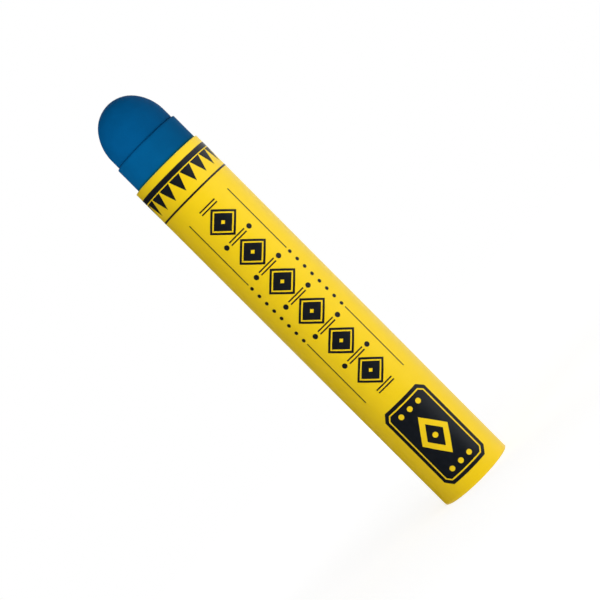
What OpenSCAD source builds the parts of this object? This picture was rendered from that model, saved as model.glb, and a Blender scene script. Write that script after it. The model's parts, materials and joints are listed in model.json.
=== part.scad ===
// Solid paint marker: a cast stick of paint in a rolled paper sleeve.
// It stands on its flat end, and +Z runs along its axis towards the nose.
// Lengths are in millimetres and angles in degrees.

/* [Stick] */
// Diameter of the cast stick, in the sleeve and at the bare shoulder
stick_d = 17.5; // [14:0.1:25]
// Bare shoulder between the mouth of the sleeve and the step
shoulder_l = 6.7; // [2:0.1:20]
// Rounding of the shoulder's rim and of the stick's bottom edge
rim_r = 0.2; // [0.1:0.05:0.3]

/* [Nose] */
// How far the nose steps in from the shoulder, all round
step_w = 0.52; // [0.45:0.01:1]
// Straight neck between the step and the rounded nose
neck_l = 2.5; // [1:0.1:10]
// Height of the rounded nose above the neck
nose_h = 9.5; // [8:0.1:14]
// Angle off the axis at which the blunt tip's arc runs into the flank's arc
tip_angle = 51; // [45:1:65]
// Radius of the crease that runs round the foot of the neck
crease_r = 0.24; // [0.1:0.01:0.3]

/* [Sleeve] */
// Length of the paper sleeve
sleeve_l = 98.6; // [40:0.1:160]
// Wall of the sleeve, made of several turns of paper
sleeve_wall = 0.45; // [0.3:0.05:1]
// Play between the stick and the sleeve, on the radius
sleeve_play = 0.25; // [0.1:0.05:0.5]
// How far the stick lies over to +X inside the sleeve, as a share of the play
stick_over = 0.9; // [0:0.1:0.9]
// Bevel that the knife leaves on the outer edge at both ends
cut_bevel = 0.08; // [0.04:0.01:0.2]

/* [Lap] */
// Thickness of one turn of paper, which is the height of the lap's step
ply_t = 0.12; // [0.05:0.01:0.2]
// Angle over which the last turn rises out of the sleeve's round
lap_angle = 45; // [30:1:70]
// Angle round the axis at which the last turn ends, counted from +X
lap_end = 135; // [110:1:160]

/* [Hidden] */
$fn = 180;

stick_r = stick_d / 2;
step_z = sleeve_l + shoulder_l;
neck_r = stick_r - step_w;
nose_z = step_z + neck_l;

// The tip's arc and the flank's arc share a tangent at tip_angle, the tip's
// is square to the axis and the flank's is in line with the neck.
arc_ratio = (1 - sin(tip_angle)) / cos(tip_angle);
tip_r = (neck_r - nose_h * arc_ratio) / (1 - arc_ratio);
flank_r = tip_r + (nose_h - tip_r) / cos(tip_angle);
join_h = nose_h - tip_r * (1 - cos(tip_angle));

bore_r = stick_r + sleeve_play;
sleeve_r = bore_r + sleeve_wall;
stick_x = sleeve_play * stick_over;

// The last turn is an arc off the sleeve's axis. It leaves the round at a
// tangent where the lap starts, and stands one ply proud where it ends.
lap_start = lap_end - lap_angle;
lap_r = sleeve_r + ply_t;
lap_shift = (lap_r * lap_r - sleeve_r * sleeve_r) / (2 * (sleeve_r - lap_r * cos(lap_angle)));

// Half section of a round bar whose two rims are rounded
module bar_section(r, h, rim) {
    square([r - rim, h]);
    translate([0, rim]) square([r, h - 2 * rim]);
    for (z = [rim, h - rim])
        translate([r - rim, z]) circle(r = rim);
}

// Half section of the nose above the neck
module nose_section() {
    intersection() {
        translate([neck_r - flank_r, 0]) circle(r = flank_r);
        square([neck_r, join_h]);
    }
    intersection() {
        translate([0, nose_h - tip_r]) circle(r = tip_r);
        translate([0, join_h]) square([neck_r, nose_h - join_h]);
    }
}

module stick_section() {
    difference() {
        union() {
            bar_section(stick_r, step_z, rim_r);
            translate([0, step_z - rim_r]) square([neck_r, neck_l + rim_r]);
            translate([0, nose_z]) nose_section();
        }
        translate([neck_r, step_z]) circle(r = crease_r);
    }
}

module paint_stick() {
    color("#0a5c91")
        translate([stick_x, 0, 0])
            rotate_extrude() stick_section();
}

// Wedge from the axis that holds everything between two angles
module wedge(from, to, reach) {
    polygon([[0, 0], reach * [cos(from), sin(from)], reach * [cos(to), sin(to)]]);
}

module sleeve_section() {
    difference() {
        union() {
            circle(r = sleeve_r);
            intersection() {
                rotate(lap_start) translate([-lap_shift, 0]) circle(r = sleeve_r + lap_shift);
                wedge(lap_start, lap_end, 2 * sleeve_r);
            }
        }
        circle(r = bore_r);
    }
}

// Round blank that bevels the outer edge at both ends, the lap's included
module bevelled_blank() {
    reach = 2 * ply_t;
    rotate_extrude()
        polygon([
            [0, 0],
            [sleeve_r - cut_bevel, 0],
            [sleeve_r + reach, cut_bevel + reach],
            [sleeve_r + reach, sleeve_l - cut_bevel - reach],
            [sleeve_r - cut_bevel, sleeve_l],
            [0, sleeve_l],
        ]);
}

module paper_sleeve() {
    color("#f9d423")
        intersection() {
            linear_extrude(height = sleeve_l) sleeve_section();
            bevelled_blank();
        }
}

paint_stick();
paper_sleeve();
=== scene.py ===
"""Finishes a solid paint marker: the cast stick, its paper sleeve, the sleeve's print and a stage.

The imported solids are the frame. The stick and the sleeve keep their shapes and get their
finishes here. The print is a set of thin films of ink, rolled onto the sleeve. Lengths are in
metres and angles in radians. The printed front faces -Y.
"""

import json
import math

import bpy
import numpy as np
from bpy.props import FloatProperty, FloatVectorProperty, IntProperty, PointerProperty
from mathutils import Matrix, Vector


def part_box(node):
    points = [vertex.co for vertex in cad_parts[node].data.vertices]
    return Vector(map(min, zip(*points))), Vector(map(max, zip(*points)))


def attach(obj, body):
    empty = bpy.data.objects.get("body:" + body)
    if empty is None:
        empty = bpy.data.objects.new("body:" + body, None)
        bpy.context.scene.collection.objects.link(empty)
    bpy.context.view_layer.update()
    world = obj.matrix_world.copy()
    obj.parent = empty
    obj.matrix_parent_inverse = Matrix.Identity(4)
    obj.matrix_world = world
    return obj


bl_info = {
    "name": "Solid Paint Marker",
    "version": (1, 0, 0),
    "blender": (4, 5, 0),
    "location": "View3D > Sidebar > Paint Marker",
    "description": "Finishes a paint stick in a printed paper sleeve, and sets it on a stage",
    "category": "Object",
}

MM = 0.001
STICK = "paint_stick"
SLEEVE = "paper_sleeve"

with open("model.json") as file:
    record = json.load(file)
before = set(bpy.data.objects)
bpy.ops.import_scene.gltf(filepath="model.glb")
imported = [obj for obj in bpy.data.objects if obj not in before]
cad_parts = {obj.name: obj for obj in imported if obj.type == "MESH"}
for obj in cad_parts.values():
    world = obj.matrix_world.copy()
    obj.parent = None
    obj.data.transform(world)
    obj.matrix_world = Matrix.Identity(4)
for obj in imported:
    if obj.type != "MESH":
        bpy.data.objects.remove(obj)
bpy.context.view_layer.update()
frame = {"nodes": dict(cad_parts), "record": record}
MOUNTS = {mount["name"]: mount for mount in frame["record"]["mounts"]}
SLEEVE_RADIUS = MOUNTS["sleeve_outside"]["dims"]["r_mm"] * MM
SLEEVE_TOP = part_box(SLEEVE)[1][2]

# Edges of a film that turn by more than this are its rims.
RIM_ANGLE = math.radians(40)

# Finish of the paint. The painted shade in the crease and the casting marks are shares of the
# full effect, and the marks' noise is drawn out along the stick.
PAINTED_CREASE_SHADE_DEPTH = 0.3
MARK_DEPTH = 0.35
MARK_STRETCH = (1, 1, 0.06)
WAXY_SPECULAR = 0.015

# Finish of the paper and its ink. A line between two plies is a share of a ply wide to each side.
GRAIN_SCALE = 1500.0
GRAIN_CONTRAST = 0.06
SHEEN_SCALE = 420.0
CUT_ROUGHNESS = 0.3
LAP_EDGE_REACH = 0.1 * MM
PLY_LINE_WIDTH = 0.12
PLY_LINE_DEPTH = 0.35
INK_SPECULAR = 0.3

# Stage. The floor fades to plain white between the two distances from the axis.
LAMP_SIZE = 0.5
LAMP_AIM = Vector((0, 0, 0.06))
FLOOR_FADE = (0.03, 0.35)
FLOOR_REACH = 1.5


# Sizes and colours ---------------------------------------------------------------------------


def length(name, description, millimetres):
    """A length setting, given in millimetres and kept in metres."""
    return FloatProperty(
        name=name, description=description, unit="LENGTH", precision=5, default=millimetres * MM
    )


def angle(name, description, degrees):
    """An angle setting, given in degrees and kept in radians."""
    return FloatProperty(
        name=name, description=description, subtype="ANGLE", default=math.radians(degrees)
    )


def color(name, description, red, green, blue):
    """A colour setting, in linear light."""
    return FloatVectorProperty(
        name=name,
        description=description,
        subtype="COLOR",
        size=3,
        min=0,
        max=1,
        default=(red, green, blue),
    )


def share(name, description, value):
    """A setting from 0 to 1."""
    return FloatProperty(
        name=name, description=description, subtype="FACTOR", min=0, max=1, default=value
    )


def power(name, description, watts):
    """A lamp's power."""
    return FloatProperty(name=name, description=description, unit="POWER", min=0, default=watts)


def count(name, description, least, value):
    """A whole number of like figures."""
    return IntProperty(name=name, description=description, min=least, default=value)


class StickFinish(bpy.types.PropertyGroup):
    """Finish of the cast paint."""

    shoulder_color: color("Shoulder paint", "Colour of the shoulder", 0.0012, 0.1, 0.268)
    nose_color: color("Nose paint", "Colour of the nose", 0.001, 0.09, 0.255)
    # Painted shade: this colour darkens the paint round the crease at the step, in place of the
    # shade that falls there.
    painted_crease_shade_color: color("Painted crease shade", "Painted shade in the crease round the neck", 0.0008, 0.06, 0.18)
    # Painted shadow: this colour darkens the paint at the sleeve's mouth, in place of the sleeve's
    # shadow on the stick.
    painted_mouth_shadow_color: color("Painted mouth shadow", "Painted shadow next to the sleeve's yellow rim", 0.003, 0.07, 0.03)
    roughness: share("Roughness", "Roughness of the waxy skin", 0.55)
    shoulder: length("Shoulder", "Bare shoulder between the sleeve and the step", 6.7)
    crease: length("Crease", "Reach of the crease's painted shade to each side", 0.8)
    mouth: length("Mouth", "Reach of the painted shadow at the sleeve's mouth", 0.7)
    unevenness: length("Unevenness", "Depth of the waves that casting leaves in the skin", 0.012)


class SleeveFinish(bpy.types.PropertyGroup):
    """Finish of the paper sleeve, and the lap that the print rolls over."""

    coat_color: color("Coating", "Colour of the coated outside", 0.96, 0.66, 0.003)
    bare_rim_and_highlight_color: color("Bare paper", "Colour of the bare paper where it is cut, and of a painted highlight along the rims", 0.93, 0.74, 0.12)
    roughness: share("Roughness", "Roughness of the coating", 0.42)
    grain: length("Grain", "Height of the paper's grain", 0.002)
    edge: length("Cut rim", "Width of the bare rim and its painted highlight at both cut ends", 0.22)
    ply: length("Ply", "Thickness of one turn of paper", 0.12)
    lap_angle: angle("Lap", "Angle over which the last turn rises", 45)
    lap_end: angle("Lap end", "Where the last turn ends, counted from +X", 135)


class SleevePrint(bpy.types.PropertyGroup):
    """Sizes and places of the print."""

    ink_color: color("Ink", "Colour of the ink", 0.008, 0.01, 0.014)
    film: length("Film", "Thickness of one film of ink", 0.02)
    margin: length("Margin", "Bare paper between the mouth and the band", 2.0)
    band: length("Band", "Width of the band at the mouth", 1.3)
    ring: length("Ring", "Width of the thin ring under the teeth", 0.45)
    tooth: length("Tooth", "Length of the teeth that hang from the band", 4.0)
    teeth: count("Teeth", "Number of teeth round the sleeve", 3, 18)
    row_low: length("Row start", "Height of the lowest lozenge's middle", 34.5)
    row_high: length("Row end", "Height of the highest lozenge's middle", 80.5)
    lozenges: count("Lozenges", "Number of lozenges in the row", 2, 6)
    lozenge: length("Lozenge", "Width of a lozenge", 8.4)
    rule: length("Rule", "Width of the thin lines", 0.26)
    beads: count("Beads", "Number of beads in each side's row", 2, 8)
    panel_low: length("Panel start", "Height of the panel's lower edge", 3.2)
    panel_width: length("Panel width", "Width of the panel round the sleeve", 13.2)
    panel_height: length("Panel height", "Height of the panel", 22.0)


class MarkerStage(bpy.types.PropertyGroup):
    """Camera and light."""

    aim_side: length("Aim aside", "How far to +X of the axis the camera looks", -0.14)
    aim_height: length("Aim", "Height that the camera looks at", 56.05)
    distance: length("Distance", "Distance from the axis to the camera", 446.5)
    elevation: angle("Elevation", "Angle of the camera above the horizon", 2.388)
    roll: angle("Roll", "Turn of the camera, which points the nose up and to the left", 44.96)
    lens: FloatProperty(name="Lens", description="Focal length", unit="CAMERA", default=119.14)
    key_power: power("Key", "Lamp for all but the stick, to the front right", 2.05)
    nose_power: power("Nose", "Lamp for the stick alone, to the front left", 2.6)
    fill_power: power("Fill", "Lamp in front", 1.65)
    rim_power: power("Rim", "Lamp to the left, and a little in front", 1.3)
    back_power: power("Back", "Lamp behind and to the left", 2.0)
    sky: FloatProperty(name="Sky", description="Strength of the world's light", min=0, default=0.9)


# Surfaces ------------------------------------------------------------------------------------


def sleeve_surface(angles, sleeve):
    """Radius of the sleeve's outside at each angle from +X.

    It is the sleeve's radius R all round, apart from the lap. Over the lap it is the far side of
    a circle of radius R + e whose centre lies e behind the axis, seen from the lap's start:
    sqrt((R + e)^2 - (e sin d)^2) - e cos d at an angle d past the start. The shift e is such that
    the circle stands one ply proud at the lap's end.
    """
    low = SLEEVE_RADIUS
    high = low + sleeve.ply
    shift = (high**2 - low**2) / (2 * (low - high * math.cos(sleeve.lap_angle)))
    past = np.mod(angles - (sleeve.lap_end - sleeve.lap_angle), 2 * math.pi)
    arc = np.sqrt((low + shift) ** 2 - (shift * np.sin(past)) ** 2) - shift * np.cos(past)
    return np.where(past < sleeve.lap_angle, arc, low)


def rolled(flat, lift, sleeve):
    """Rolls a flat layout onto the sleeve.

    A point (across, up) goes to the angle across / R from the front and to the height up, at
    the sleeve's own radius there and as much further out as the lift says.
    """
    across, up = flat[..., 0], flat[..., 1]
    angles = across / SLEEVE_RADIUS - math.pi / 2
    radius = sleeve_surface(angles, sleeve) + lift
    x, y, z = np.broadcast_arrays(radius * np.cos(angles), radius * np.sin(angles), up)
    return np.stack([x, y, z], axis=-1)


def grid_quads(rows, columns, closed):
    """Corner numbers of the quads of a grid whose columns close on themselves, as its rows may.

    They face the side from which the columns run anticlockwise while the rows run outwards.
    """
    row = np.arange(rows if closed else rows - 1)[:, None]
    column = np.arange(columns)[None, :]
    here, outer = row * columns, (row + 1) % rows * columns
    after = (column + 1) % columns
    corners = [here + column, outer + column, outer + after, here + after]
    return np.stack(corners, axis=-1).reshape(-1, 4)


def add_piece(name, points, faces, material):
    """Makes a mesh piece that rides on the body, with smooth faces and sharp rims."""
    mesh = bpy.data.meshes.new(name)
    mesh.from_pydata(points.tolist(), [], faces)
    mesh.shade_smooth()
    mesh.set_sharp_from_angle(angle=RIM_ANGLE)
    mesh.materials.append(material)
    piece = bpy.data.objects.new(name, mesh)
    bpy.context.scene.collection.objects.link(piece)
    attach(piece, "root")
    return piece


def polygon(corners, per_side=16):
    """Points along a polygon's sides, each side from its corner to the next in even shares."""
    corners = np.array(corners, dtype=float)[:, None]
    along = np.linspace(0, 1, per_side, endpoint=False)[:, None]
    return ((1 - along) * corners + along * np.roll(corners, -1, axis=0)).reshape(-1, 2)


def disc(radius, around=24):
    """Points round a circle, at even angles."""
    t = np.linspace(0, 2 * math.pi, around, endpoint=False)
    return radius * np.stack([np.cos(t), np.sin(t)], axis=-1)


def lozenge(width, height):
    """Outline of a lozenge of that width and height."""
    return polygon([(width / 2, 0), (0, height / 2), (-width / 2, 0), (0, -height / 2)])


def bar(width, height):
    """Outline of a rectangle of that width and height."""
    x, y = width / 2, height / 2
    return polygon([(x, -y), (x, y), (-x, y), (-x, -y)], per_side=8)


def panel(width, height, cut, inset):
    """Outline of a rectangle with cut corners, pulled in all round by the inset.

    A corner's cut shrinks by 2 - sqrt(2) of the inset, so that every side moves in by the same.
    """
    x, y = width / 2 - inset, height / 2 - inset
    c = cut - (2 - math.sqrt(2)) * inset
    right = [(x, c - y), (x, y - c)]
    top = [(x - c, y), (c - x, y)]
    left = [(-x, y - c), (-x, c - y)]
    bottom = [(c - x, -y), (x - c, -y)]
    return polygon(right + top + left + bottom)


def print_figures(context, name, centres, outline, inner=None, on_ink=False, rings=8):
    """Prints figures of one outline, one at each centre (across, up), as one piece of thin films.

    A film is a grid of a place round its outline and a step. The step runs out over the top,
    from the inner outline to the outer one in even shares, and back in underneath. With an
    inner outline, the grid closes on itself in the hole. Without one the inner outline is the
    centre itself, where a pole closes the top and another the underside. Figures on ink are
    yellow, and lie on a black film.
    """
    sleeve, design = context.scene.sleeve_finish, context.scene.sleeve_print
    low = design.film if on_ink else 0.0
    high = low + design.film
    centres = np.array(centres, dtype=float)[:, None, None]
    out = np.linspace(0, 1, rings + 1)
    hollow = inner is not None
    if not hollow:
        inner, out = np.zeros_like(outline), out[1:]
    lift = np.repeat([high, low], len(out))[:, None]
    out = np.concatenate([out, out[::-1]])[:, None, None]
    rows, columns = len(out), len(outline)
    flat = centres + (1 - out) * inner + out * outline
    points = rolled(flat, lift, sleeve).reshape(len(centres), -1, 3)
    shapes = [grid_quads(rows, columns, hollow)]
    if not hollow:
        poles = rolled(np.repeat(centres[:, 0], 2, axis=1), np.array([high, low]), sleeve)
        points = np.concatenate([points, poles], axis=1)
        column = np.arange(columns)
        after = (column + 1) % columns
        top, last = rows * columns, (rows - 1) * columns
        shapes.append(np.stack([np.full(columns, top), column, after], axis=-1))
        shapes.append(np.stack([np.full(columns, top + 1), last + after, last + column], axis=-1))
    first = np.arange(len(centres))[:, None, None] * points.shape[1]
    faces = []
    for shape in shapes:
        faces.extend((shape + first).reshape(-1, shape.shape[-1]).tolist())
    if on_ink:
        return add_piece(name, points.reshape(-1, 3), faces, coated_paper(sleeve))
    return add_piece(name, points.reshape(-1, 3), faces, black_ink(design, sleeve))


def print_rings(context, name, spans, around=360):
    """Prints rings round the sleeve, one for each (low, high) span of heights, as one piece.

    A ring is a rectangle one film thick, carried round the sleeve's outside. It starts and ends
    at the end of the lap, where it comes down by one ply, and keeps a hair clear of the step.
    """
    sleeve, design = context.scene.sleeve_finish, context.scene.sleeve_print
    hair = 1e-6
    turn = np.linspace(hair, 2 * math.pi - hair, around)
    across = (sleeve.lap_end + math.pi / 2 + turn) * SLEEVE_RADIUS
    lift = np.array([0, design.film, design.film, 0])[:, None]
    quads = grid_quads(len(lift), around, True)
    points, faces = [], []
    for number, (low, high) in enumerate(spans):
        up = np.array([high, high, low, low])[:, None]
        flat = np.stack(np.broadcast_arrays(across, up), axis=-1)
        points.append(rolled(flat, lift, sleeve).reshape(-1, 3))
        faces.extend((quads + number * len(lift) * around).tolist())
    return add_piece(name, np.concatenate(points), faces, black_ink(design, sleeve))


# Shader groups -------------------------------------------------------------------------------


def add_node(tree, kind, inputs=None, **settings):
    """Adds a node, gives it its settings, and fills its inputs with values or links."""
    node = tree.nodes.new(kind)
    for name, value in settings.items():
        setattr(node, name, value)
    for name, value in (inputs or {}).items():
        if isinstance(value, bpy.types.NodeSocket):
            tree.links.new(value, node.inputs[name])
        else:
            node.inputs[name].default_value = value
    return node


def add_math(tree, operation, first, second=0.0):
    """Adds a Math node and returns its result."""
    inputs = {0: first, 1: second}
    return add_node(tree, "ShaderNodeMath", inputs, operation=operation).outputs[0]


def add_mix(tree, factor, first, second):
    """Adds a colour mix and returns its result."""
    inputs = {0: factor, 6: first, 7: second}
    return add_node(tree, "ShaderNodeMix", inputs, data_type="RGBA").outputs[2]


def add_range(tree, value, given, wanted, interpolation="LINEAR"):
    """Turns a given range of a value, (low, high), into the wanted one, and returns the result."""
    inputs = {
        "Value": value,
        "From Min": given[0],
        "From Max": given[1],
        "To Min": wanted[0],
        "To Max": wanted[1],
    }
    kind = "ShaderNodeMapRange"
    return add_node(tree, kind, inputs, interpolation_type=interpolation).outputs[0]


def new_group(name, inputs, outputs):
    """Makes a shader group with those inputs, (name, kind, default), and those number outputs."""
    group = bpy.data.node_groups.new(name, "ShaderNodeTree")
    for label, kind, default in inputs:
        socket = group.interface.new_socket(label, in_out="INPUT", socket_type=kind)
        if default is not None:
            socket.default_value = default
    for label in outputs:
        group.interface.new_socket(label, in_out="OUTPUT", socket_type="NodeSocketFloat")
    given = group.nodes.new("NodeGroupInput").outputs
    result = group.nodes.new("NodeGroupOutput").inputs
    return group, given, result


def stretched_noise(tree, vector, stretch, scale, detail=3.0):
    """Noise whose cells are squeezed along each axis by the stretch."""
    inputs = {0: vector, 1: stretch}
    squeezed = add_node(tree, "ShaderNodeVectorMath", inputs, operation="MULTIPLY").outputs[0]
    inputs = {"Vector": squeezed, "Scale": scale, "Detail": detail, "Roughness": 0.55}
    return add_node(tree, "ShaderNodeTexNoise", inputs).outputs["Fac"]


def mottle_group():
    """Soft mottle: cloudy noise that runs from Low to High."""
    name = "Soft mottle"
    if name in bpy.data.node_groups:
        return bpy.data.node_groups[name]
    group, given, result = new_group(
        name,
        [
            ("Vector", "NodeSocketVector", None),
            ("Scale", "NodeSocketFloat", 500.0),
            ("Low", "NodeSocketFloat", 0.0),
            ("High", "NodeSocketFloat", 1.0),
        ],
        ["Value"],
    )
    noise = stretched_noise(group, given["Vector"], (1, 1, 1), given["Scale"])
    spread = add_range(group, noise, (0.3, 0.7), (given["Low"], given["High"]))
    group.links.new(spread, result["Value"])
    return group


def grain_group():
    """Paper grain: fibres round the sleeve crossed by finer ones along it, as height and tone."""
    name = "Paper grain"
    if name in bpy.data.node_groups:
        return bpy.data.node_groups[name]
    group, given, result = new_group(
        name,
        [
            ("Vector", "NodeSocketVector", None),
            ("Scale", "NodeSocketFloat", GRAIN_SCALE),
            ("Contrast", "NodeSocketFloat", GRAIN_CONTRAST),
        ],
        ["Height", "Tone"],
    )
    vector, scale = given["Vector"], given["Scale"]
    round_fibres = stretched_noise(group, vector, (0.35, 0.35, 2.2), scale, detail=4.0)
    long_fibres = stretched_noise(group, vector, (1.8, 1.8, 0.3), scale, detail=4.0)
    height = add_math(group, "MULTIPLY", add_math(group, "ADD", round_fibres, long_fibres), 0.5)
    group.links.new(height, result["Height"])
    swing = add_math(group, "MULTIPLY", add_math(group, "SUBTRACT", height, 0.5), given["Contrast"])
    group.links.new(add_math(group, "ADD", 1.0, swing), result["Tone"])
    return group


def height_group():
    """Height band: a mask that is 1 at the given height and fades to 0 at the reach from it."""
    name = "Height band"
    if name in bpy.data.node_groups:
        return bpy.data.node_groups[name]
    group, given, result = new_group(
        name,
        [
            ("Vector", "NodeSocketVector", None),
            ("Height", "NodeSocketFloat", 0.0),
            ("Reach", "NodeSocketFloat", 0.001),
        ],
        ["Mask"],
    )
    up = add_node(group, "ShaderNodeSeparateXYZ", {0: given["Vector"]}).outputs["Z"]
    away = add_math(group, "ABSOLUTE", add_math(group, "SUBTRACT", up, given["Height"]))
    reaches = add_math(group, "DIVIDE", away, given["Reach"])
    group.links.new(add_range(group, reaches, (0, 1), (1, 0), "SMOOTHSTEP"), result["Mask"])
    return group


def use_group(tree, group, **inputs):
    """Places a shader group and returns its outputs."""
    return add_node(tree, "ShaderNodeGroup", inputs, node_tree=group).outputs


def add_mottle(tree, place, scale, low, high):
    """Soft mottle at that scale, from low to high."""
    return use_group(tree, mottle_group(), Vector=place, Scale=scale, Low=low, High=high)["Value"]


def add_band(tree, place, height, reach):
    """The mask of a height band."""
    return use_group(tree, height_group(), Vector=place, Height=height, Reach=reach)["Mask"]


# Materials -----------------------------------------------------------------------------------


def new_material(name):
    """A material with a Principled BSDF, and the object's coordinates to work from."""
    material = bpy.data.materials.new(name)
    material.use_nodes = True
    tree = material.node_tree
    tree.nodes.clear()
    out = add_node(tree, "ShaderNodeOutputMaterial")
    shader = add_node(tree, "ShaderNodeBsdfPrincipled")
    tree.links.new(shader.outputs["BSDF"], out.inputs["Surface"])
    place = add_node(tree, "ShaderNodeTexCoord").outputs["Object"]
    return material, tree, shader.inputs, place


def tinted(tree, base, tone):
    """A colour made lighter or darker by a tone that is 1 on average."""
    inputs = {0: base, "Scale": tone}
    return add_node(tree, "ShaderNodeVectorMath", inputs, operation="SCALE").outputs[0]


def add_relief(tree, shader, height, depth):
    """Gives a material the relief of a height from 0 to 1, at that depth."""
    bump = add_node(tree, "ShaderNodeBump", {"Height": height, "Distance": depth, "Strength": 1.0})
    tree.links.new(bump.outputs[0], shader["Normal"])


def add_grain(tree, shader, place, sleeve):
    """Gives a material the relief of the paper's grain, and returns the grain's tone."""
    group = grain_group()
    grain = use_group(tree, group, Vector=place, Scale=GRAIN_SCALE, Contrast=GRAIN_CONTRAST)
    add_relief(tree, shader, grain["Height"], sleeve.grain)
    return grain["Tone"]


def cast_paint(stick):
    """Cast paint: a waxy skin with a soft mottle, faint marks along it, painted shade in the crease
    and a painted shadow at the sleeve's mouth.
    """
    material, tree, shader, place = new_material("Cast paint")
    step = SLEEVE_TOP + stick.shoulder
    up = add_node(tree, "ShaderNodeSeparateXYZ", {0: place}).outputs["Z"]
    on_nose = add_math(tree, "GREATER_THAN", up, step)
    paint = add_mix(tree, on_nose, (*stick.shoulder_color, 1), (*stick.nose_color, 1))
    # Painted shade: a band round the step darkens the paint towards the crease colour, in place of
    # the shade in the crease.
    crease = add_band(tree, place, step, stick.crease)
    shade = add_math(tree, "MULTIPLY", crease, PAINTED_CREASE_SHADE_DEPTH)
    paint = add_mix(tree, shade, paint, (*stick.painted_crease_shade_color, 1))
    # Painted shadow: a band at the sleeve's mouth darkens the paint, in place of the sleeve's
    # shadow on the stick.
    mouth = add_band(tree, place, SLEEVE_TOP, stick.mouth)
    paint = add_mix(tree, mouth, paint, (*stick.painted_mouth_shadow_color, 1))
    clouds = add_mottle(tree, place, scale=260.0, low=0.95, high=1.05)
    specks = add_mottle(tree, place, scale=3200.0, low=0.97, high=1.03)
    tone = add_math(tree, "MULTIPLY", clouds, specks)
    tree.links.new(tinted(tree, paint, tone), shader["Base Color"])
    least, most = stick.roughness - 0.05, stick.roughness + 0.07
    sheen = add_mottle(tree, place, scale=700.0, low=least, high=most)
    tree.links.new(sheen, shader["Roughness"])
    marks = stretched_noise(tree, place, MARK_STRETCH, scale=1400.0)
    waves = add_mottle(tree, place, scale=520.0, low=0.0, high=1.0)
    relief = add_math(tree, "ADD", waves, add_math(tree, "MULTIPLY", marks, MARK_DEPTH))
    add_relief(tree, shader, relief, stick.unevenness)
    shader["Specular IOR Level"].default_value = WAXY_SPECULAR
    return material


def coated_paper(sleeve):
    """Yellow coated paper with a faint grain, bare and duller paper where it is cut, and a painted
    highlight where that band runs onto the coat.
    """
    name = "Coated paper"
    if name in bpy.data.materials:
        return bpy.data.materials[name]
    material, tree, shader, place = new_material(name)
    tone = add_grain(tree, shader, place, sleeve)
    # Partly painted highlight: the cut ends are bare paper, and the pale band runs a little past
    # each end onto the coat in place of light caught along the rim.
    bottom = add_band(tree, place, 0.0, sleeve.edge)
    mouth = add_band(tree, place, SLEEVE_TOP, sleeve.edge)
    ends = add_math(tree, "MAXIMUM", bottom, mouth)
    cut = add_math(tree, "MAXIMUM", ends, lap_edge(tree, place, sleeve))
    coat = tinted(tree, sleeve.coat_color, tone)
    bare = tinted(tree, sleeve.bare_rim_and_highlight_color, ply_lines(tree, place, sleeve))
    tree.links.new(add_mix(tree, cut, coat, bare), shader["Base Color"])
    least, most = sleeve.roughness - 0.03, sleeve.roughness + 0.04
    sheen = add_mottle(tree, place, SHEEN_SCALE, low=least, high=most)
    dulling = add_math(tree, "MULTIPLY", cut, CUT_ROUGHNESS)
    tree.links.new(add_math(tree, "ADD", sheen, dulling), shader["Roughness"])
    return material


def lap_edge(tree, place, sleeve):
    """1 on the cut edge of the last turn, and a little to each side of the lap's end."""
    axes = add_node(tree, "ShaderNodeSeparateXYZ", {0: place}).outputs
    angles = add_math(tree, "ARCTAN2", axes["Y"], axes["X"])
    away = add_math(tree, "ABSOLUTE", add_math(tree, "SUBTRACT", angles, sleeve.lap_end))
    return add_math(tree, "LESS_THAN", away, LAP_EDGE_REACH / SLEEVE_RADIUS)


def ply_lines(tree, place, sleeve):
    """A tone that dips where two turns of paper meet, once for each ply in from the outside."""
    inputs = {0: place, 1: (1, 1, 0)}
    flat = add_node(tree, "ShaderNodeVectorMath", inputs, operation="MULTIPLY").outputs[0]
    radius = add_node(tree, "ShaderNodeVectorMath", {0: flat}, operation="LENGTH").outputs["Value"]
    depth = add_math(tree, "SUBTRACT", SLEEVE_RADIUS, radius)
    plies = add_math(tree, "DIVIDE", depth, sleeve.ply)
    between = add_math(tree, "PINGPONG", plies, 0.5)
    line = add_math(tree, "LESS_THAN", between, PLY_LINE_WIDTH)
    return add_math(tree, "SUBTRACT", 1.0, add_math(tree, "MULTIPLY", line, PLY_LINE_DEPTH))


def black_ink(design, sleeve):
    """Dense printing ink, which takes the paper's grain and is a little uneven in its depth."""
    name = "Black ink"
    if name in bpy.data.materials:
        return bpy.data.materials[name]
    material, tree, shader, place = new_material(name)
    density = add_mottle(tree, place, scale=900.0, low=0.85, high=1.2)
    tree.links.new(tinted(tree, design.ink_color, density), shader["Base Color"])
    sheen = add_mottle(tree, place, SHEEN_SCALE, low=0.36, high=0.44)
    tree.links.new(sheen, shader["Roughness"])
    add_grain(tree, shader, place, sleeve)
    shader["Specular IOR Level"].default_value = INK_SPECULAR
    return material


# Pieces --------------------------------------------------------------------------------------


def finish_node(name, material):
    """Gives a carried-over solid its material, in the one slot that it comes with."""
    frame["nodes"][name].material_slots[0].material = material


class PAINT_MARKER_OT_finish_stick(bpy.types.Operator):
    """Gives the cast stick its waxy paint finish"""

    bl_idname = "paint_marker.finish_stick"
    bl_label = "Finish Stick"

    def execute(self, context):
        finish_node(STICK, cast_paint(context.scene.stick_finish))
        return {"FINISHED"}


class PAINT_MARKER_OT_finish_sleeve(bpy.types.Operator):
    """Gives the sleeve its coated paper finish"""

    bl_idname = "paint_marker.finish_sleeve"
    bl_label = "Finish Sleeve"

    def execute(self, context):
        finish_node(SLEEVE, coated_paper(context.scene.sleeve_finish))
        return {"FINISHED"}


def band_heights(design):
    """Top and bottom of the band at the mouth, and of the teeth under it."""
    top = SLEEVE_TOP - design.margin
    bottom = top - design.band
    teeth_top = bottom - design.rule
    return top, bottom, teeth_top, teeth_top - design.tooth


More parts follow.
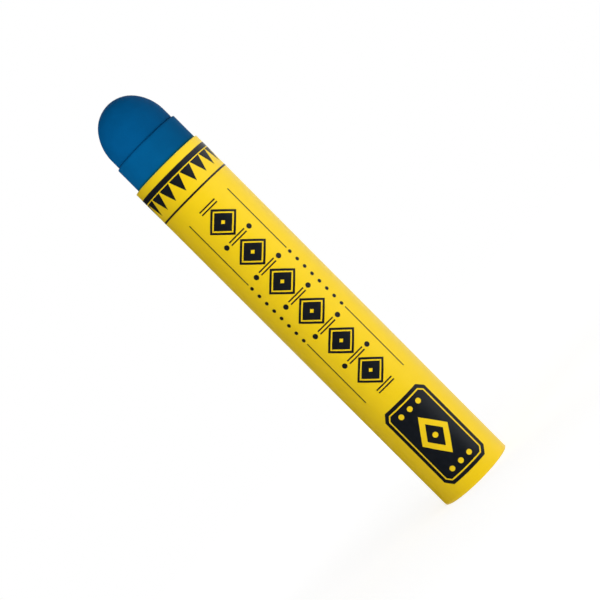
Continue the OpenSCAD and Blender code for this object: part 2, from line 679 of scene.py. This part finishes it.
def row_heights(design):
    """Heights of the lozenges' middles, and the step from one to the next."""
    heights = np.linspace(design.row_low, design.row_high, design.lozenges)
    return heights, heights[1] - heights[0]


def row_sides(design):
    """Places across of the lines and beads to both sides of the row."""
    side = 0.76 * design.lozenge
    return [-side, side]


def spots(across, up):
    """Every pairing of the places across with the heights."""
    return [(x, y) for x in across for y in up]


class PAINT_MARKER_OT_print_bands(bpy.types.Operator):
    """Prints the band at the mouth and the thin ring under the teeth"""

    bl_idname = "paint_marker.print_bands"
    bl_label = "Print Bands"

    def execute(self, context):
        design = context.scene.sleeve_print
        top, bottom, _, teeth_bottom = band_heights(design)
        ring_gap = 3 * design.ring
        ring_top = teeth_bottom - ring_gap
        print_rings(context, "print_bands", [(bottom, top), (ring_top - design.ring, ring_top)])
        return {"FINISHED"}


class PAINT_MARKER_OT_print_teeth(bpy.types.Operator):
    """Prints the ring of teeth that hang from the band"""

    bl_idname = "paint_marker.print_teeth"
    bl_label = "Print Teeth"

    def execute(self, context):
        design = context.scene.sleeve_print
        _, _, top, bottom = band_heights(design)
        pitch = 2 * math.pi / design.teeth
        first = context.scene.sleeve_finish.lap_end + math.pi / 2 + pitch / 2
        across = (first + pitch * np.arange(design.teeth)) * SLEEVE_RADIUS
        x, y = 0.46 * pitch * SLEEVE_RADIUS, design.tooth / 2
        tooth = polygon([(x, y), (-x, y), (0, -y)], per_side=8)
        centres = spots(across, [(top + bottom) / 2])
        print_figures(context, "print_teeth", centres, tooth, rings=4)
        return {"FINISHED"}


class PAINT_MARKER_OT_print_lozenges(bpy.types.Operator):
    """Prints the long row of lozenges, each one a frame round a smaller one"""

    bl_idname = "paint_marker.print_lozenges"
    bl_label = "Print Lozenges"

    def execute(self, context):
        design = context.scene.sleeve_print
        heights, step = row_heights(design)
        centres = spots([0.0], heights)
        outline = lozenge(design.lozenge, 0.85 * step)
        frame_hole = 0.82 * outline
        print_figures(context, "print_lozenge_frames", centres, outline, frame_hole, rings=3)
        core, core_hole = 0.7 * outline, 0.14 * outline
        print_figures(context, "print_lozenges", centres, core, core_hole)
        return {"FINISHED"}


class PAINT_MARKER_OT_print_reels(bpy.types.Operator):
    """Prints the pairs of short bars above, below and between the lozenges"""

    bl_idname = "paint_marker.print_reels"
    bl_label = "Print Reels"

    def execute(self, context):
        design = context.scene.sleeve_print
        heights, step = row_heights(design)
        between = np.append(heights - step / 2, heights[-1] + step / 2)
        apart = 1.5 * design.rule
        pairs = np.concatenate([between - apart, between + apart])
        reel = bar(0.55 * design.lozenge, 1.3 * design.rule)
        print_figures(context, "print_reels", spots([0.0], pairs), reel, rings=2)
        return {"FINISHED"}


class PAINT_MARKER_OT_print_rules(bpy.types.Operator):
    """Prints two thin lines along each side of the row"""

    bl_idname = "paint_marker.print_rules"
    bl_label = "Print Rules"

    def execute(self, context):
        design = context.scene.sleeve_print
        heights, step = row_heights(design)
        run = (heights[-1] - heights[0] + step) / 3
        middles = [heights[0] - step / 2 + run / 2, heights[-1] + step / 2 - run / 2]
        centres = spots(row_sides(design), middles)
        print_figures(context, "print_rules", centres, bar(design.rule, run), rings=2)
        return {"FINISHED"}


class PAINT_MARKER_OT_print_beads(bpy.types.Operator):
    """Prints the beads between each side's two lines, and those in the notches of the row"""

    bl_idname = "paint_marker.print_beads"
    bl_label = "Print Beads"

    def execute(self, context):
        design = context.scene.sleeve_print
        heights, step = row_heights(design)
        middle = (heights[0] + heights[-1]) / 2
        half_gap = (heights[-1] - heights[0] + step) / 6
        row = middle + np.linspace(-0.88, 0.88, design.beads) * half_gap
        bead, notch_bead = disc(0.055 * design.lozenge), disc(0.075 * design.lozenge)
        print_figures(context, "print_beads", spots(row_sides(design), row), bead, rings=2)
        notch = 0.42 * design.lozenge
        notches = spots([-notch, notch], heights[:-1] + step / 2)
        print_figures(context, "print_notch_beads", notches, notch_bead, rings=2)
        return {"FINISHED"}


def panel_layout(design):
    """The panel's centre, its outline at any inset, and its half height."""
    width, height = design.panel_width, design.panel_height
    centre = (0.0, design.panel_low + height / 2)
    return centre, lambda inset: panel(width, height, width / 8, inset), height / 2


class PAINT_MARKER_OT_print_panel(bpy.types.Operator):
    """Prints the dark panel at the foot"""

    bl_idname = "paint_marker.print_panel"
    bl_label = "Print Panel"

    def execute(self, context):
        centre, outline, _ = panel_layout(context.scene.sleeve_print)
        print_figures(context, "print_panel", [centre], outline(0.0), rings=16)
        return {"FINISHED"}


class PAINT_MARKER_OT_print_panel_figures(bpy.types.Operator):
    """Prints the panel's yellow figures: a line, a lozenge frame and beads"""

    bl_idname = "paint_marker.print_panel_figures"
    bl_label = "Print Panel Figures"

    def execute(self, context):
        design = context.scene.sleeve_print
        centre, outline, half = panel_layout(design)
        inset, line = 3.5 * design.rule, 1.3 * design.rule
        print_figures(
            context,
            "panel_line",
            [centre],
            outline(inset),
            outline(inset + line),
            on_ink=True,
            rings=2,
        )
        width = design.panel_width
        rim = lozenge(0.6 * width, half)
        hole = 0.6 * rim
        print_figures(context, "panel_frame", [centre], rim, hole, on_ink=True, rings=4)
        side, end = 0.2 * width, 0.73 * half
        beads = spots([-side, 0.0, side], [centre[1] - end, centre[1] + end])
        bead = disc(0.05 * width)
        print_figures(context, "panel_beads", [centre, *beads], bead, on_ink=True, rings=3)
        return {"FINISHED"}


# Stage ---------------------------------------------------------------------------------------


class PAINT_MARKER_OT_set_stage(bpy.types.Operator):
    """Adds the camera, the lamps, the dark cards, the floor and the world"""

    bl_idname = "paint_marker.set_stage"
    bl_label = "Set Stage"

    def execute(self, context):
        stage = context.scene.marker_stage
        add_camera(stage)
        key = add_lamp("Key lamp", stage.key_power, azimuth=32, elevation=18, distance=0.7)
        link_stick(key, "EXCLUDE")
        nose = add_lamp("Nose lamp", stage.nose_power, azimuth=-28, elevation=12, distance=0.8)
        link_stick(nose, "INCLUDE")
        add_lamp("Fill lamp", stage.fill_power, azimuth=-5, elevation=12, distance=0.8)
        add_lamp("Rim lamp", stage.rim_power, azimuth=-60, elevation=12, distance=0.8)
        add_lamp("Back lamp", stage.back_power, azimuth=-145, elevation=12, distance=0.8)
        add_cards()
        add_floor()
        add_world(stage.sky)
        context.scene.view_settings.view_transform = "Standard"
        # Baked maps carry each island's own colours past its border, so no seam shows as a line.
        context.scene.render.bake.margin_type = "EXTEND"
        return {"FINISHED"}


def add_camera(stage):
    """A camera in front of the print, turned about its own line of sight."""
    data = bpy.data.cameras.new("Camera")
    data.lens = stage.lens
    data.sensor_width = 36
    data.clip_start = 0.01
    camera = bpy.data.objects.new("Camera", data)
    e, r = stage.elevation, stage.roll
    back = Vector((0, -math.cos(e), math.sin(e)))
    rise = Vector((0, math.sin(e), math.cos(e)))
    side = Vector((1, 0, 0))
    right = side * math.cos(r) - rise * math.sin(r)
    up = side * math.sin(r) + rise * math.cos(r)
    aim = Vector((stage.aim_side, 0, stage.aim_height))
    turn = Matrix((right, up, back)).transposed()
    camera.matrix_world = Matrix.Translation(aim + back * stage.distance) @ turn.to_4x4()
    bpy.context.scene.collection.objects.link(camera)
    bpy.context.scene.camera = camera


def add_lamp(name, watts, azimuth, elevation, distance):
    """A soft lamp aimed at the sleeve, at angles in degrees.

    Azimuth 0 is the printed front, and it grows towards +X. Neither the camera nor the gloss
    sees the lamp. The gloss sees the white surround and the dark cards instead.
    """
    data = bpy.data.lights.new(name, "AREA")
    data.size = LAMP_SIZE
    data.energy = watts
    data.cycles.use_multiple_importance_sampling = False
    lamp = bpy.data.objects.new(name, data)
    a, e = math.radians(azimuth), math.radians(elevation)
    back = Vector((math.sin(a) * math.cos(e), -math.cos(a) * math.cos(e), math.sin(e)))
    lamp.location = LAMP_AIM + back * distance
    lamp.rotation_euler = back.to_track_quat("Z", "Y").to_euler()
    lamp.visible_camera = False
    lamp.visible_glossy = False
    bpy.context.scene.collection.objects.link(lamp)
    return lamp


def link_stick(lamp, state):
    """Lets a lamp light the stick alone (INCLUDE), or all but the stick (EXCLUDE)."""
    lit = bpy.data.collections.new(lamp.name + " group")
    lit.objects.link(frame["nodes"][STICK])
    lit.collection_objects[0].light_linking.link_state = state
    lamp.light_linking.receiver_collection = lit


def add_cards():
    """Dark cards that keep the left of the gloss dark, and the sky off the nose.

    The table card lies just over the floor to the left, and only the gloss sees it.
    """
    add_card("Left card", upright(azimuth=-115, width=2.6))
    add_card("Front card", upright(azimuth=-14, width=2.2))
    add_card("Top card", level_square(reach=0.3, height=0.4))
    edge = ((-0.9, -0.8), (0.67, -0.8), (0.0, 0.0), (-0.1, 0.6), (-0.9, 0.6))
    table = add_card("Table card", [(x, y, 0.5 * MM) for x, y in edge])
    table.visible_diffuse = False
    table.visible_shadow = False


def upright(azimuth, width):
    """Corners of a tall card a metre away, which stands a millimetre clear of the floor."""
    a = math.radians(azimuth)
    out = np.array([math.sin(a), -math.cos(a)])
    along = np.array([-out[1], out[0]])
    low, high = 0.001, 1.5
    sides = ((-0.5, low), (0.5, low), (0.5, high), (-0.5, high))
    return [(*(out + along * side * width), up) for side, up in sides]


def level_square(reach, height):
    """Corners of a level square about the axis."""
    return [(x * reach, y * reach, height) for x, y in ((-1, -1), (1, -1), (1, 1), (-1, 1))]


def add_card(name, corners):
    """A dark card that the camera doesn't see."""
    material, _, shader, _ = new_material(name)
    shader["Base Color"].default_value = (0.03, 0.03, 0.03, 1)
    shader["Specular IOR Level"].default_value = 0
    card = add_sheet(name, corners, material)
    card.visible_camera = False
    return card


def add_sheet(name, corners, material):
    """A flat sheet of the stage."""
    mesh = bpy.data.meshes.new(name)
    mesh.from_pydata(corners, [], [range(len(corners))])
    mesh.materials.append(material)
    sheet = bpy.data.objects.new(name, mesh)
    bpy.context.scene.collection.objects.link(sheet)
    return sheet


def add_floor():
    """A pale floor that keeps the object's shadow, and turns to plain white far away.

    It is part pale surface and part glow. The glow's share and strength run from one half and
    one and a half under the object to 1 far away, so that the floor reads as white all over.
    """
    material = bpy.data.materials.new("Floor")
    material.use_nodes = True
    tree = material.node_tree
    tree.nodes.clear()
    place = add_node(tree, "ShaderNodeTexCoord").outputs["Object"]
    away = add_node(tree, "ShaderNodeVectorMath", {0: place}, operation="LENGTH").outputs["Value"]
    glow_share = add_range(tree, away, FLOOR_FADE, (0.5, 1.0), "SMOOTHSTEP")
    strength = add_range(tree, away, FLOOR_FADE, (1.5, 1.0), "SMOOTHSTEP")
    pale = add_node(tree, "ShaderNodeBsdfDiffuse", {"Color": (0.85, 0.85, 0.85, 1)}).outputs[0]
    glow = add_node(tree, "ShaderNodeEmission", {"Strength": strength}).outputs[0]
    factor = add_math(tree, "MULTIPLY", glow_share, seen_directly(tree))
    mix = add_node(tree, "ShaderNodeMixShader", {0: factor, 1: pale, 2: glow})
    add_node(tree, "ShaderNodeOutputMaterial", {"Surface": mix.outputs[0]})
    add_sheet("Floor", level_square(reach=FLOOR_REACH, height=0), material)


def add_world(sky):
    """A world that gives soft light all round, and reads as white where it is seen."""
    world = bpy.data.worlds.new("World")
    bpy.context.scene.world = world
    world.use_nodes = True
    tree = world.node_tree
    tree.nodes.clear()
    soft = add_node(tree, "ShaderNodeBackground", {"Color": (1, 1, 1, 1), "Strength": sky})
    white = add_node(tree, "ShaderNodeBackground", {"Color": (1, 1, 1, 1), "Strength": 1.0})
    inputs = {0: seen_directly(tree), 1: soft.outputs[0], 2: white.outputs[0]}
    mix = add_node(tree, "ShaderNodeMixShader", inputs)
    add_node(tree, "ShaderNodeOutputWorld", {"Surface": mix.outputs[0]})


def seen_directly(tree):
    """1 for rays from the camera and for those that it sees in gloss or through glass, else 0."""
    path = add_node(tree, "ShaderNodeLightPath").outputs
    gloss = add_math(tree, "MAXIMUM", path["Is Glossy Ray"], path["Is Transmission Ray"])
    return add_math(tree, "MAXIMUM", path["Is Camera Ray"], gloss)


# Add-on --------------------------------------------------------------------------------------


class PAINT_MARKER_PT_sidebar(bpy.types.Panel):
    """Lists the pieces' operators and the settings that they read"""

    bl_label = "Solid Paint Marker"
    bl_idname = "PAINT_MARKER_PT_sidebar"
    bl_space_type = "VIEW_3D"
    bl_region_type = "UI"
    bl_category = "Paint Marker"

    def draw(self, context):
        for operator in OPERATORS:
            self.layout.operator(operator.bl_idname)
        for name, group in SETTINGS.items():
            box = self.layout.box()
            for setting in group.__annotations__:
                box.prop(getattr(context.scene, name), setting)


SETTINGS = {
    "stick_finish": StickFinish,
    "sleeve_finish": SleeveFinish,
    "sleeve_print": SleevePrint,
    "marker_stage": MarkerStage,
}
OPERATORS = (
    PAINT_MARKER_OT_finish_stick,
    PAINT_MARKER_OT_finish_sleeve,
    PAINT_MARKER_OT_print_bands,
    PAINT_MARKER_OT_print_teeth,
    PAINT_MARKER_OT_print_lozenges,
    PAINT_MARKER_OT_print_reels,
    PAINT_MARKER_OT_print_rules,
    PAINT_MARKER_OT_print_beads,
    PAINT_MARKER_OT_print_panel,
    PAINT_MARKER_OT_print_panel_figures,
    PAINT_MARKER_OT_set_stage,
)
CLASSES = (*SETTINGS.values(), *OPERATORS, PAINT_MARKER_PT_sidebar)


def register():
    for cls in CLASSES:
        bpy.utils.register_class(cls)
    for name, group in SETTINGS.items():
        setattr(bpy.types.Scene, name, PointerProperty(type=group))


def unregister():
    for name in SETTINGS:
        delattr(bpy.types.Scene, name)
    for cls in reversed(CLASSES):
        bpy.utils.unregister_class(cls)


def main():
    register()
    for operator in OPERATORS:
        group, name = operator.bl_idname.split(".")
        getattr(getattr(bpy.ops, group), name)()


if __name__ == "__main__":
    main()
